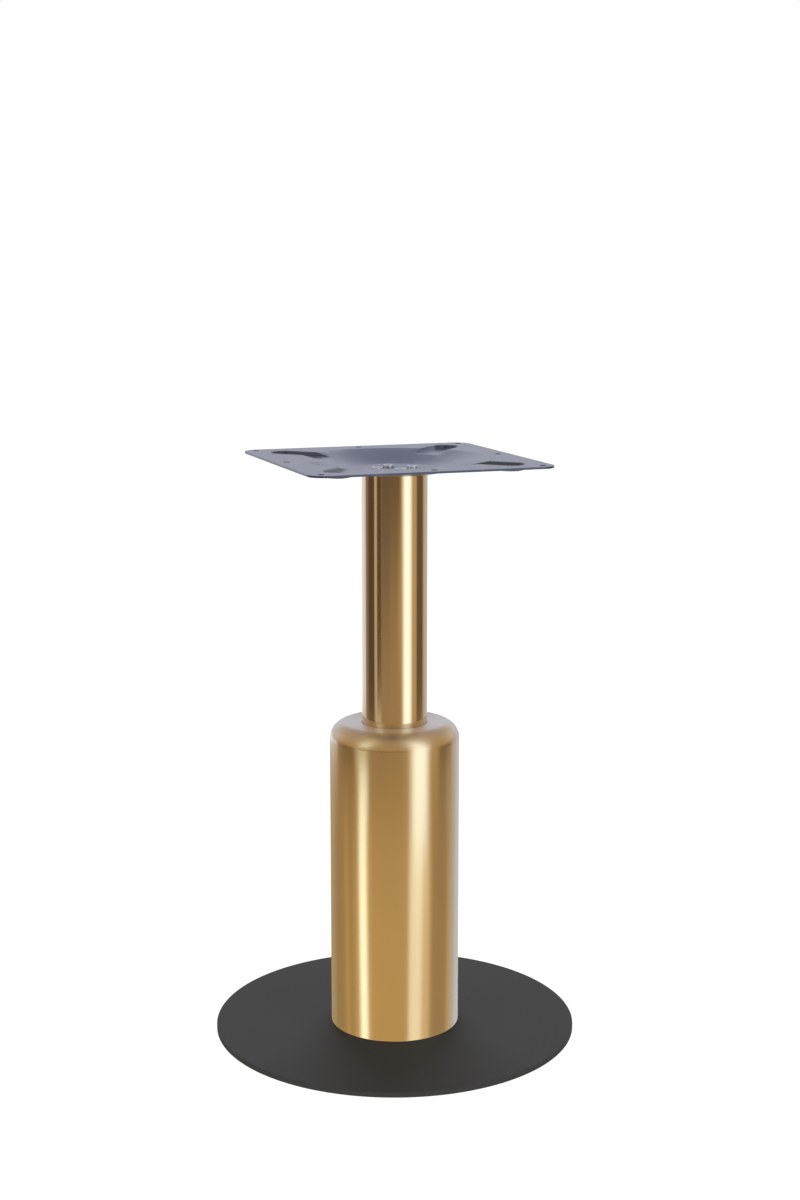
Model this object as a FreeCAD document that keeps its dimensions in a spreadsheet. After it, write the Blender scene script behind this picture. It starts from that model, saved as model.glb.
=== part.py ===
import FreeCAD, Part

import math
import os

import Sketcher
from FreeCAD import Placement, Rotation, Vector

# Pedestal table base, in millimetres.
# A round steel base plate on rubber pads carries a slim round column. A wide sleeve
# with a rounded shoulder covers the lower half of the column, and a square pressed
# plate with a dished middle on top of it takes the table top.
# The origin is on the floor under the middle, +Z is up, and the edges of the square
# plate lie along X and Y.

# Driving sizes: alias, value, what it is
SIZES = (
    ("overall_height", 720, "floor to the flat top of the square plate"),
    ("base_diameter", 450, "round base plate"),
    ("base_thickness", 6, "round base plate"),
    ("base_edge_bevel", 0.8, "bevel of the base plate's upper edge"),
    ("pad_diameter", 32, "floor pad"),
    ("pad_thickness", 2, "floor pad"),
    ("pad_inset", 30, "edge of the base plate to the middle of a pad"),
    ("flange_thickness", 8, "foot flange of the column"),
    ("flange_bore", 30, "hole in the middle of the foot flange"),
    ("spigot_height", 8, "rim of the flange that stands inside the tube"),
    ("spigot_wall", 6, "wall of that rim"),
    ("base_screw_diameter", 8, "thread of the screws from below"),
    ("base_screw_head", 16, "countersunk head from below"),
    ("base_screw_socket", 5, "hexagon across its flats"),
    ("column_diameter", 80, "column tube, outside"),
    ("column_wall", 2, "column tube"),
    ("head_thickness", 12, "steel head inside the top of the tube"),
    ("sleeve_diameter", 160, "sleeve, outside"),
    ("sleeve_wall", 1.5, "sleeve"),
    ("sleeve_height", 386, "base plate to the flat top of the sleeve"),
    ("shoulder_radius", 20, "rounded shoulder of the sleeve"),
    ("collar_depth", 10, "edge of the sleeve turned down around the column"),
    ("collar_bevel", 0.8, "bevel at the top of that edge"),
    ("ring_width", 14, "ring between the flange and the sleeve's foot"),
    ("ring_height", 12, "the same ring"),
    ("ring_chamfer", 1.5, "lead-in at the ring's upper edge"),
    ("ring_screw_diameter", 4, "thread of the ring's screws"),
    ("ring_screw_head", 8, "countersunk head of the ring's screws"),
    ("ring_screw_socket", 2.5, "hexagon across its flats"),
    ("ring_thread_depth", 4, "ring's screws in the base plate"),
    ("plate_side", 300, "square plate"),
    ("plate_corner_radius", 20, "corners of the square plate"),
    ("sheet_thickness", 2.5, "sheet of the square plate"),
    ("rim_flat", 33, "edge of the square plate to the dish, halfway along a side"),
    ("dish_depth", 13.5, "flat rim down to the floor of the dish"),
    ("dish_floor_margin", 17, "column to the foot of the dish's wall"),
    ("dish_bend_radius", 10, "bend from the wall to the floor of the dish"),
    ("channel_width", 34, "pressed channel at the level of the rim"),
    ("channel_depth", 5, "pressed channel"),
    ("channel_end_gap", 23, "end of a channel to the middle of the corner hole"),
    ("channel_draft", 30, "lean of a channel's wall from upright, in degrees"),
    ("channel_bend_radius", 3, "bend from a channel's wall to its floor"),
    ("lip_radius", 4, "bend from the flat rim into the dish and the channels"),
    ("fixing_hole_diameter", 7, "hole for a wood screw"),
    ("fixing_hole_inset", 15, "edge of the square plate to the middle of a hole"),
    ("top_screw_inset", 15.5, "bore of the tube to the screws in the dish"),
    ("top_screw_diameter", 8, "thread of the screws in the dish"),
    ("top_screw_head", 14, "low flat head of the screws in the dish"),
    ("top_screw_head_height", 2.4, "the same head"),
    ("top_screw_head_bevel", 0.6, "bevel around the same head"),
    ("top_screw_socket", 5, "hexagon across its flats"),
    ("washer_diameter", 16, "washer in the dish"),
    ("washer_thickness", 1, "washer in the dish"),
    ("screw_hole_play", 1, "clearance hole wider than its screw"),
    ("screw_tip_gap", 1, "tip of a screw short of the end of its hole"),
    ("thread_gap", 0.05, "screw to the wall of its tapped hole"),
    ("weld_gap", 0.05, "turned piece to the bore it is welded in"),
    ("sliding_gap", 0.3, "sleeve to the column and to its ring"),
)

PAD_COUNT = 6
BASE_SCREW_COUNT = 4
RING_SCREW_COUNT = 3
TOP_SCREW_COUNT = 4
CHANNEL_COUNT = 4
HEXAGON_SIDES = 6
FULL_TURN = 360
CHANNEL_ANGLE = 45
COUNTERSINK_ANGLE = 90
SOCKET_SHARE = 0.6
SAMPLES = 7
NEAR = 0.01

DOC = FreeCAD.newDocument("pedestal_table_base")
SHEET = DOC.addObject("Spreadsheet::Sheet", "Size")

for row, (alias, amount, note) in enumerate(SIZES, start=1):
    SHEET.set(f"A{row}", note)
    SHEET.set(f"B{row}", str(amount))
    SHEET.setAlias(f"B{row}", alias)
DOC.recompute()

# Levels above the floor
DISC_TOP = "(Size.pad_thickness + Size.base_thickness)"
FLANGE_TOP = f"({DISC_TOP} + Size.flange_thickness)"
COLUMN_TOP = "(Size.overall_height - Size.dish_depth - Size.sheet_thickness)"
DISH_FLOOR = "(Size.overall_height - Size.dish_depth)"

# Radii that several pieces share
COLUMN_RADIUS = "(Size.column_diameter / 2)"
COLUMN_BORE = f"({COLUMN_RADIUS} - Size.column_wall)"
SLEEVE_BORE = "(Size.sleeve_diameter / 2 - Size.sleeve_wall)"
COLLAR_BORE = f"({COLUMN_RADIUS} + Size.sliding_gap)"
RING_OUTER = f"({SLEEVE_BORE} - Size.sliding_gap)"
RING_INNER = f"({RING_OUTER} - Size.ring_width)"
FLANGE_RADIUS = f"({RING_INNER} - Size.sliding_gap)"
BASE_SCREW_CIRCLE = f"(({COLUMN_RADIUS} + {FLANGE_RADIUS}) / 2)"
RING_SCREW_CIRCLE = f"(({RING_INNER} + {RING_OUTER}) / 2)"
TOP_SCREW_CIRCLE = f"({COLUMN_BORE} - Size.top_screw_inset)"

# Forms of the square plate, measured down from its flat top
PLATE_HALF = "(Size.plate_side / 2)"
DISH_RIM = f"({PLATE_HALF} - Size.rim_flat)"
DISH_FOOT = f"({COLUMN_RADIUS} + Size.dish_floor_margin)"
DISH_SLOPE = f"atan(Size.dish_depth / ({DISH_RIM} - {DISH_FOOT}))"
DISH_SHIFT = f"(Size.sheet_thickness * tan({DISH_SLOPE} / 2))"
CHANNEL_SHIFT = "(Size.sheet_thickness * tan((90 - Size.channel_draft) / 2))"
HOLE_REACH = f"({PLATE_HALF} - Size.fixing_hole_inset)"
CHANNEL_REACH = f"({HOLE_REACH} * sqrt(2) - Size.channel_end_gap)"


def value(expression):
    """The number that an expression over the sheet gives."""
    result = SHEET.evalExpression(expression)
    return float(getattr(result, "Value", result))


def new_body(label, height="0"):
    """A body at its height above the floor."""
    body = DOC.addObject("PartDesign::Body", label)
    body.Label = label
    body.setExpression("Placement.Base.z", height)
    return body


def sketch_on(body, role, name, turn=0, **offsets):
    """A sketch on one of the body's own planes, moved and turned in that plane's frame."""
    plane = next(item for item in body.Origin.OriginFeatures if item.Role == role)
    sketch = body.newObject("Sketcher::SketchObject", name)
    sketch.AttachmentSupport = [(plane, "")]
    sketch.MapMode = "FlatFace"
    sketch.AttachmentOffset = Placement(Vector(), Rotation(Vector(0, 0, 1), turn))
    for axis, expression in offsets.items():
        sketch.setExpression(f"AttachmentOffset.Base.{axis}", expression)
    return sketch


def bind_constraint(sketch, constraint, name, expression):
    """Add a constraint whose size follows the sheet."""
    index = sketch.addConstraint(constraint)
    sketch.renameConstraint(index, name)
    sketch.setExpression(f"Constraints.{name}", expression)


def hold_point(sketch, geometry, end, name, across, up):
    """Tie a point of the sketch to two expressions, or to an axis where one is zero."""
    if across == "0":
        sketch.addConstraint(Sketcher.Constraint("PointOnObject", geometry, end, -2))
    else:
        size = Sketcher.Constraint("DistanceX", geometry, end, value(across))
        bind_constraint(sketch, size, f"{name}_across", across)
    if up == "0":
        sketch.addConstraint(Sketcher.Constraint("PointOnObject", geometry, end, -1))
    else:
        size = Sketcher.Constraint("DistanceY", geometry, end, value(up))
        bind_constraint(sketch, size, f"{name}_up", up)


def draw_circle(sketch, radius, name="circle", across="0", up="0"):
    """A circle with its middle held and its radius bound."""
    middle = Vector(value(across), value(up), 0)
    circle = sketch.addGeometry(Part.Circle(middle, Vector(0, 0, 1), value(radius)), False)
    hold_point(sketch, circle, 3, name, across, up)
    size = Sketcher.Constraint("Radius", circle, value(radius))
    bind_constraint(sketch, size, f"{name}_radius", radius)


def draw_bolt_circle(sketch, circle_radius, hole_radius, count):
    """Evenly spaced circles, the first of them on the sketch's X axis."""
    for index in range(count):
        angle = index * FULL_TURN / count
        across = f"{circle_radius} * cos({angle})"
        up = f"{circle_radius} * sin({angle})"
        draw_circle(sketch, hole_radius, f"hole_{index}", across, up)


def draw_lines(sketch, points, closed=True):
    """Straight lines through points given as pairs of expressions."""
    places = [Vector(value(across), value(up), 0) for across, up in points]
    ends = places[1:] + places[:1] if closed else places[1:]
    lines = []
    for start, end in zip(places, ends):
        lines.append(sketch.addGeometry(Part.LineSegment(start, end), False))
    following = lines[1:] + lines[:1] if closed else lines[1:]
    for line, after in zip(lines, following):
        sketch.addConstraint(Sketcher.Constraint("Coincident", line, 2, after, 1))
    for line, (across, up) in zip(lines, points):
        hold_point(sketch, line, 1, f"point_{line}", across, up)
    return lines


def draw_hexagon(sketch, width):
    """A hexagon about the sketch's origin, given across its flats."""
    corner = f"({width} / 2 / cos(30))"
    angles = [index * FULL_TURN / HEXAGON_SIDES + 30 for index in range(HEXAGON_SIDES)]
    draw_lines(sketch, [(f"{corner} * cos({angle})", f"{corner} * sin({angle})") for angle in angles])


def draw_slot(sketch, inner_middle, outer_middle, radius):
    """A slot with round ends along the sketch's X axis."""
    inner, outer, half = value(inner_middle), value(outer_middle), value(radius)
    upright = Vector(0, 0, 1)
    quarter = math.pi / 2
    outer_circle = Part.Circle(Vector(outer, 0, 0), upright, half)
    inner_circle = Part.Circle(Vector(inner, 0, 0), upright, half)
    outer_end = sketch.addGeometry(Part.ArcOfCircle(outer_circle, -quarter, quarter), False)
    inner_end = sketch.addGeometry(Part.ArcOfCircle(inner_circle, quarter, 3 * quarter), False)
    left = Part.LineSegment(Vector(outer, half, 0), Vector(inner, half, 0))
    right = Part.LineSegment(Vector(inner, -half, 0), Vector(outer, -half, 0))
    left_side = sketch.addGeometry(left, False)
    right_side = sketch.addGeometry(right, False)
    joints = (
        (outer_end, 2, left_side, 1),
        (left_side, 2, inner_end, 1),
        (inner_end, 2, right_side, 1),
        (right_side, 2, outer_end, 1),
    )
    for joint in joints:
        sketch.addConstraint(Sketcher.Constraint("Tangent", *joint))
    sketch.addConstraint(Sketcher.Constraint("Equal", outer_end, inner_end))
    hold_point(sketch, outer_end, 3, "outer", outer_middle, "0")
    hold_point(sketch, inner_end, 3, "inner", inner_middle, "0")
    size = Sketcher.Constraint("Radius", outer_end, half)
    bind_constraint(sketch, size, "half_width", radius)


def pad(body, sketch, name, length, down=False, draft=None):
    """Raise a sketch, or lower it, its walls leaning inwards where a draft is given."""
    feature = body.newObject("PartDesign::Pad", name)
    feature.Profile = sketch
    feature.Reversed = down
    feature.setExpression("Length", length)
    if draft:
        feature.setExpression("TaperAngle", f"-{draft} * 1 deg")
    return feature


def pocket(body, sketch, name, length=None, up=False, draft=None):
    """Cut a sketch downwards, or upwards, to a depth or right through."""
    feature = body.newObject("PartDesign::Pocket", name)
    feature.Profile = sketch
    feature.Reversed = up
    if length:
        feature.setExpression("Length", length)
    else:
        feature.Type = "ThroughAll"
    if draft:
        feature.setExpression("TaperAngle", f"-{draft} * 1 deg")
    return feature


def turn(body, sketch, name, kind="PartDesign::Revolution"):
    """Turn a half section about the sketch's own upright axis."""
    feature = body.newObject(kind, name)
    feature.Profile = sketch
    feature.ReferenceAxis = (sketch, ["V_Axis"])
    feature.Angle = FULL_TURN
    return feature


def countersink(body, sketch, name, width, head, up=False):
    """Countersunk holes right through the body."""
    DOC.recompute()
    feature = body.newObject("PartDesign::Hole", name)
    feature.Profile = sketch
    feature.Reversed = up
    feature.Threaded = False
    feature.DepthType = "ThroughAll"
    feature.HoleCutType = "Countersink"
    feature.HoleCutCustomValues = True
    feature.HoleCutCountersinkAngle = COUNTERSINK_ANGLE
    feature.setExpression("Diameter", width)
    feature.setExpression("HoleCutDiameter", head)
    return feature


def around(body, features, name, count):
    """Repeat features evenly about the body's upright axis."""
    axis = next(item for item in body.Origin.OriginFeatures if item.Role == "Z_Axis")
    feature = body.newObject("PartDesign::PolarPattern", name)
    feature.Originals = features
    feature.Axis = (axis, [""])
    feature.Angle = FULL_TURN
    feature.Occurrences = count
    body.Tip = feature
    return feature


def finish_edges(body, base, name, radius, test, kind="PartDesign::Fillet"):
    """Round or bevel the edges of a feature that pass a test."""
    DOC.recompute()
    edges = [f"Edge{index}" for index, edge in enumerate(base.Shape.Edges, start=1) if test(edge)]
    if not edges:
        raise RuntimeError(f"{name} finds no edge")
    feature = body.newObject(kind, name)
    feature.Base = (base, edges)
    feature.setExpression("Size" if kind == "PartDesign::Chamfer" else "Radius", radius)
    return feature


def sample(edge):
    """Points spread along an edge."""
    first, last = edge.ParameterRange
    return [edge.valueAt(first + (last - first) * step / (SAMPLES - 1)) for step in range(SAMPLES)]


def is_circle(radius, height):
    """A test for edges on a circle about the upright axis."""
    wanted, level = value(radius), value(height)

    def test(edge):
        points = sample(edge)
        return all(
            abs(math.hypot(point.x, point.y) - wanted) < NEAR and abs(point.z - level) < NEAR for point in points
        )

    return test


def build_floor_pads():
    """Rubber pads under the base plate, near its edge."""
    circle = "(Size.base_diameter / 2 - Size.pad_inset)"
    for index in range(PAD_COUNT):
        angle = index * FULL_TURN / PAD_COUNT
        body = new_body(f"floor_pad_{index + 1}")
        body.setExpression("Placement.Base.x", f"{circle} * cos({angle})")
        body.setExpression("Placement.Base.y", f"{circle} * sin({angle})")
        sketch = sketch_on(body, "XY_Plane", "pad_outline")
        draw_circle(sketch, "Size.pad_diameter / 2")
        pad(body, sketch, "pad_block", "Size.pad_thickness")


def build_base_disc():
    """Round steel plate, countersunk from below and tapped from above."""
    body = new_body("base_disc", "Size.pad_thickness")
    outline = sketch_on(body, "XY_Plane", "disc_outline")
    draw_circle(outline, "Size.base_diameter / 2")
    plate = pad(body, outline, "disc_plate", "Size.base_thickness")
    upper_edge = is_circle("Size.base_diameter / 2", "Size.base_thickness")
    finish_edges(body, plate, "disc_edge", "Size.base_edge_bevel", upper_edge, "PartDesign::Chamfer")
    from_below = sketch_on(body, "XY_Plane", "screws_from_below")
    clearance = "Size.base_screw_diameter + Size.screw_hole_play"
    draw_bolt_circle(from_below, BASE_SCREW_CIRCLE, f"({clearance}) / 2", BASE_SCREW_COUNT)
    countersink(body, from_below, "countersunk_holes", clearance, "Size.base_screw_head", up=True)
    from_above = sketch_on(body, "XY_Plane", "ring_threads", z="Size.base_thickness")
    thread = "(Size.ring_screw_diameter / 2 + Size.thread_gap)"
    draw_bolt_circle(from_above, RING_SCREW_CIRCLE, thread, RING_SCREW_COUNT)
    pocket(body, from_above, "ring_tapped_holes", "Size.ring_thread_depth + Size.screw_tip_gap")


def build_foot_flange():
    """Turned flange on the base plate, with a rim that stands inside the tube."""
    body = new_body("foot_flange", DISC_TOP)
    rim_top = "(Size.flange_thickness + Size.spigot_height)"
    rim_outer = f"({COLUMN_BORE} - Size.weld_gap)"
    rim_inner = f"({rim_outer} - Size.spigot_wall)"
    section = sketch_on(body, "XZ_Plane", "flange_section")
    points = [
        ("Size.flange_bore / 2", "0"),
        (FLANGE_RADIUS, "0"),
        (FLANGE_RADIUS, "Size.flange_thickness"),
        (rim_outer, "Size.flange_thickness"),
        (rim_outer, rim_top),
        (rim_inner, rim_top),
        (rim_inner, "Size.flange_thickness"),
        ("Size.flange_bore / 2", "Size.flange_thickness"),
    ]
    draw_lines(section, points)
    turn(body, section, "flange_form")
    threads = sketch_on(body, "XY_Plane", "flange_threads")
    thread = "(Size.base_screw_diameter / 2 + Size.thread_gap)"
    draw_bolt_circle(threads, BASE_SCREW_CIRCLE, thread, BASE_SCREW_COUNT)
    pocket(body, threads, "flange_tapped_holes", up=True)


def build_column():
    """Column tube on the foot flange, and the tapped head inside its top."""
    tube = new_body("column_tube", FLANGE_TOP)
    outline = sketch_on(tube, "XY_Plane", "tube_outline")
    draw_circle(outline, COLUMN_RADIUS, "outside")
    draw_circle(outline, COLUMN_BORE, "bore")
    pad(tube, outline, "tube_wall", f"{COLUMN_TOP} - {FLANGE_TOP}")

    head = new_body("column_head", f"{COLUMN_TOP} - Size.head_thickness")
    face = sketch_on(head, "XY_Plane", "head_outline")
    draw_circle(face, f"{COLUMN_BORE} - Size.weld_gap", "outside")
    thread = "(Size.top_screw_diameter / 2 + Size.thread_gap)"
    draw_bolt_circle(face, TOP_SCREW_CIRCLE, thread, TOP_SCREW_COUNT)
    pad(head, face, "head_plate", "Size.head_thickness")


def build_sleeve():
    """Drawn sleeve: rounded shoulder, flat top, and an edge turned down at the column."""
    body = new_body("sleeve", DISC_TOP)
    outline = sketch_on(body, "XY_Plane", "sleeve_outline")
    draw_circle(outline, "Size.sleeve_diameter / 2")
    block = pad(body, outline, "sleeve_block", "Size.sleeve_height")
    upper_edge = is_circle("Size.sleeve_diameter / 2", "Size.sleeve_height")
    shoulder = finish_edges(body, block, "sleeve_shoulder", "Size.shoulder_radius", upper_edge)
    DOC.recompute()
    foot = next(
        f"Face{index}" for index, face in enumerate(shoulder.Shape.Faces, start=1) if face.BoundBox.ZMax < NEAR
    )
    shell = body.newObject("PartDesign::Thickness", "sleeve_shell")
    shell.Base = (shoulder, [foot])
    shell.Reversed = True
    shell.setExpression("Value", "Size.sleeve_wall")

    collar = sketch_on(body, "XY_Plane", "collar_outline", z="Size.sleeve_height")
    draw_circle(collar, f"{COLLAR_BORE} + Size.sleeve_wall")
    pad(body, collar, "collar_block", "Size.collar_depth", down=True)
    passage = sketch_on(body, "XY_Plane", "column_passage", z="Size.sleeve_height")
    draw_circle(passage, COLLAR_BORE)
    opening = pocket(body, passage, "collar_bore", "Size.collar_depth")
    top_edge = is_circle(COLLAR_BORE, "Size.sleeve_height")
    finish_edges(body, opening, "collar_lead_in", "Size.collar_bevel", top_edge, "PartDesign::Chamfer")


def build_sleeve_ring():
    """Plastic ring on the base plate that centres the foot of the sleeve."""
    body = new_body("sleeve_ring", DISC_TOP)
    outline = sketch_on(body, "XY_Plane", "ring_outline")
    draw_circle(outline, RING_OUTER, "outside")
    draw_circle(outline, RING_INNER, "bore")
    ring = pad(body, outline, "ring_block", "Size.ring_height")
    upper_edge = is_circle(RING_OUTER, "Size.ring_height")
    finish_edges(body, ring, "ring_lead_in", "Size.ring_chamfer", upper_edge, "PartDesign::Chamfer")
    holes = sketch_on(body, "XY_Plane", "ring_screw_places", z="Size.ring_height")
    clearance = "Size.ring_screw_diameter + Size.screw_hole_play"
    draw_bolt_circle(holes, RING_SCREW_CIRCLE, f"({clearance}) / 2", RING_SCREW_COUNT)
    countersink(body, holes, "ring_holes", clearance, "Size.ring_screw_head")


def build_countersunk_screws(label, height, circle, count, thread, head, length, socket, up):
    """Countersunk screws on a circle, their heads' faces at the given height."""
    body = new_body(label, height)
    sign = "1" if up else "-1"
    cone = f"(({head} - {thread}) / 2)"
    section = sketch_on(body, "XZ_Plane", "screw_section", x=circle)
    points = [
        ("0", "0"),
        (f"{head} / 2", "0"),
        (f"{thread} / 2", f"{sign} * {cone}"),
        (f"{thread} / 2", f"{sign} * ({length})"),
        ("0", f"{sign} * ({length})"),
    ]
    draw_lines(section, points)
    screw = turn(body, section, "screw")
    hexagon = sketch_on(body, "XY_Plane", "socket_outline", x=circle)
    draw_hexagon(hexagon, socket)
    recess = pocket(body, hexagon, "socket", f"{cone} * {SOCKET_SHARE}", up=up)
    around(body, [screw, recess], "screws", count)


def build_base_screws():
    """Screws from below, through the base plate into the foot flange."""
    length = "Size.base_thickness + Size.flange_thickness - Size.screw_tip_gap"
    build_countersunk_screws(
        "base_screws",
        "Size.pad_thickness",
        BASE_SCREW_CIRCLE,
        BASE_SCREW_COUNT,
        "Size.base_screw_diameter",
        "Size.base_screw_head",
        length,
        "Size.base_screw_socket",
        up=True,
    )


def build_ring_screws():
    """Screws from above, through the ring into the base plate."""
    build_countersunk_screws(
        "ring_screws",
        f"{DISC_TOP} + Size.ring_height",
        RING_SCREW_CIRCLE,
        RING_SCREW_COUNT,
        "Size.ring_screw_diameter",
        "Size.ring_screw_head",
        "Size.ring_height + Size.ring_thread_depth",
        "Size.ring_screw_socket",
        up=False,
    )


def dish_section(sketch, level, shift):
    """Half section of the dish below a level, moved outwards by a shift."""
    floor = f"{level} - Size.dish_depth"
    points = [
        ("0", level),
        (f"{DISH_RIM} + {shift}", level),
        (f"{DISH_FOOT} + {shift}", floor),
        ("0", floor),
    ]
    draw_lines(sketch, points)


def form_tests(level, shift):
    """Tests for the edges of the pressed forms: floor of dish, of channels, and lips."""
    plane, half = value(level), value(PLATE_HALF)
    rim = value(f"{DISH_RIM} + {shift}")
    slope = (value(DISH_RIM) - value(DISH_FOOT)) / value("Size.dish_depth")
    channel_floor = plane - value("Size.channel_depth")
    deepest = plane - value("Size.dish_depth")

    def on_channel_floor(edge):
        return all(abs(point.z - channel_floor) < NEAR for point in sample(edge))

    def on_dish_wall(points):
        if all(abs(point.z - deepest) < NEAR for point in points):
            return False
        return all(abs(math.hypot(point.x, point.y) - rim - (point.z - plane) * slope) < NEAR for point in points)

    def on_flat(points):
        level_with_flat = all(abs(point.z - plane) < NEAR for point in points)
        return level_with_flat and all(max(abs(point.x), abs(point.y)) < half - NEAR for point in points)

    def on_channel_wall_foot(edge):
        points = sample(edge)
        return on_channel_floor(edge) and not on_dish_wall(points)

    def on_lip(edge):
        points = sample(edge)
        return on_dish_wall(points) or on_flat(points)

    return on_channel_wall_foot, on_lip


def press_forms(body, prefix, level, dish_shift, channel_shift, bend_extra, lip, cut):
    """Dish and four diagonal channels, added under the sheet or cut into it from above."""
    section = sketch_on(body, "XZ_Plane", f"{prefix}_dish_section")
    dish_section(section, level, dish_shift)
    kind = "PartDesign::Groove" if cut else "PartDesign::Revolution"
    dish = turn(body, section, f"{prefix}_dish", kind)
    floor_edge = is_circle(f"{DISH_FOOT} + {dish_shift}", f"{level} - Size.dish_depth")
    finish_edges(body, dish, f"{prefix}_dish_bend", f"Size.dish_bend_radius + {bend_extra}", floor_edge)

    outline = sketch_on(body, "XY_Plane", f"{prefix}_channel_outline", CHANNEL_ANGLE, z=level)
    half_width = "(Size.channel_width / 2)"
    draw_slot(outline, DISH_FOOT, f"{CHANNEL_REACH} - {half_width}", f"{half_width} + {channel_shift}")
    if cut:
        channel = pocket(body, outline, f"{prefix}_channel", "Size.channel_depth", draft="Size.channel_draft")
    else:
        channel = pad(
            body, outline, f"{prefix}_channel", "Size.channel_depth", down=True, draft="Size.channel_draft"
        )
    channels = around(body, [channel], f"{prefix}_channels", CHANNEL_COUNT)
    wall_foot, on_lip = form_tests(level, dish_shift)
    bend = f"Size.channel_bend_radius + {bend_extra}"
    bends = finish_edges(body, channels, f"{prefix}_channel_bend", bend, wall_foot)
    return finish_edges(body, bends, f"{prefix}_lip", lip, on_lip)


def build_top_plate():
    """Pressed square plate: flat rim, dished middle, diagonal channels and holes."""
    body = new_body("top_plate", "Size.overall_height")
    outline = sketch_on(body, "XY_Plane", "plate_outline")
    corners = ((-1, -1), (1, -1), (1, 1), (-1, 1))
    draw_lines(outline, [(f"{across} * {PLATE_HALF}", f"{up} * {PLATE_HALF}") for across, up in corners])
    blank = pad(body, outline, "plate_blank", "Size.sheet_thickness", down=True)
    thickness = value("Size.sheet_thickness")
    finish_edges(
        body, blank, "plate_corners", "Size.plate_corner_radius", lambda edge: edge.BoundBox.ZLength > thickness / 2
    )
    underside = "-Size.sheet_thickness"
    sheet = "Size.sheet_thickness"
    press_forms(body, "outer", underside, DISH_SHIFT, CHANNEL_SHIFT, sheet, f"Size.lip_radius - {sheet}", cut=False)
    press_forms(body, "inner", "0", "0", "0", "0", "Size.lip_radius", cut=True)

    holes = sketch_on(body, "XY_Plane", "fixing_hole_places")
    places = [(across, up) for across in (-1, 0, 1) for up in (-1, 0, 1) if across or up]
    for index, (across, up) in enumerate(places):
        place = [f"{sign} * {HOLE_REACH}" if sign else "0" for sign in (across, up)]
        draw_circle(holes, "Size.fixing_hole_diameter / 2", f"hole_{index}", *place)
    pocket(body, holes, "fixing_holes")
    screws = sketch_on(body, "XY_Plane", "top_screw_places")
    clearance = "(Size.top_screw_diameter + Size.screw_hole_play)"
    draw_bolt_circle(screws, TOP_SCREW_CIRCLE, f"{clearance} / 2", TOP_SCREW_COUNT)
    pocket(body, screws, "top_screw_holes")


def build_top_fasteners():
    """Washers on the floor of the dish, and the flat-headed screws that hold the plate."""
    washers = new_body("top_washers", DISH_FLOOR)
    outline = sketch_on(washers, "XY_Plane", "washer_outline", x=TOP_SCREW_CIRCLE)
    draw_circle(outline, "Size.washer_diameter / 2", "outside")
    draw_circle(outline, "(Size.top_screw_diameter + Size.screw_hole_play) / 2", "bore")
    washer = pad(washers, outline, "washer", "Size.washer_thickness")
    around(washers, [washer], "washers", TOP_SCREW_COUNT)

    screws = new_body("top_screws", f"{DISH_FLOOR} + Size.washer_thickness")
    length = "(Size.washer_thickness + Size.sheet_thickness + Size.head_thickness - Size.screw_tip_gap)"
    head = "Size.top_screw_head / 2"
    height = "Size.top_screw_head_height"
    bevel = "Size.top_screw_head_bevel"
    section = sketch_on(screws, "XZ_Plane", "screw_section", x=TOP_SCREW_CIRCLE)
    points = [
        ("0", f"-{length}"),
        ("Size.top_screw_diameter / 2", f"-{length}"),
        ("Size.top_screw_diameter / 2", "0"),
        (head, "0"),
        (head, f"{height} - {bevel}"),
        (f"{head} - {bevel}", height),
        ("0", height),
    ]
    draw_lines(section, points)
    screw = turn(screws, section, "screw")
    hexagon = sketch_on(screws, "XY_Plane", "socket_outline", x=TOP_SCREW_CIRCLE, z=height)
    draw_hexagon(hexagon, "Size.top_screw_socket")
    recess = pocket(screws, hexagon, "socket", f"{height} * {SOCKET_SHARE}")
    around(screws, [screw, recess], "screws", TOP_SCREW_COUNT)


def write_parts():
    """Check every object and write each body's solids to a file of its own."""
    DOC.recompute()
    for item in DOC.Objects:
        if {"Invalid", "Error"} & set(item.State):
            raise RuntimeError(f"{item.Label} failed: {item.State}")
    os.makedirs("parts", exist_ok=True)
    bodies = [item for item in DOC.Objects if item.TypeId == "PartDesign::Body"]
    for body in bodies:
        if body.Shape.isNull() or not body.Shape.isValid():
            raise RuntimeError(f"{body.Label} has no valid shape")
    for body in bodies:
        body.Shape.exportStep(f"parts/{body.Label}.step")
        print(f"{body.Label}: {len(body.Shape.Solids)} solids, {body.Shape.Volume:.1f} mm3")


build_floor_pads()
build_base_disc()
build_foot_flange()
build_column()
build_sleeve()
build_sleeve_ring()
build_base_screws()
build_ring_screws()
build_top_plate()
build_top_fasteners()
write_parts()
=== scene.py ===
"""Finishes and detail for a pedestal table base with a brass-coloured column and sleeve.

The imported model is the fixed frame, in metres. The turned and drawn pieces are made
again here as fine smooth meshes of the same size, the fasteners get their threads and
sockets, and every surface gets a finish of its own.
"""

from __future__ import annotations

import logging
import math
from dataclasses import dataclass, field
from enum import Enum
from typing import Iterable, Optional, Sequence, Union

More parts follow.
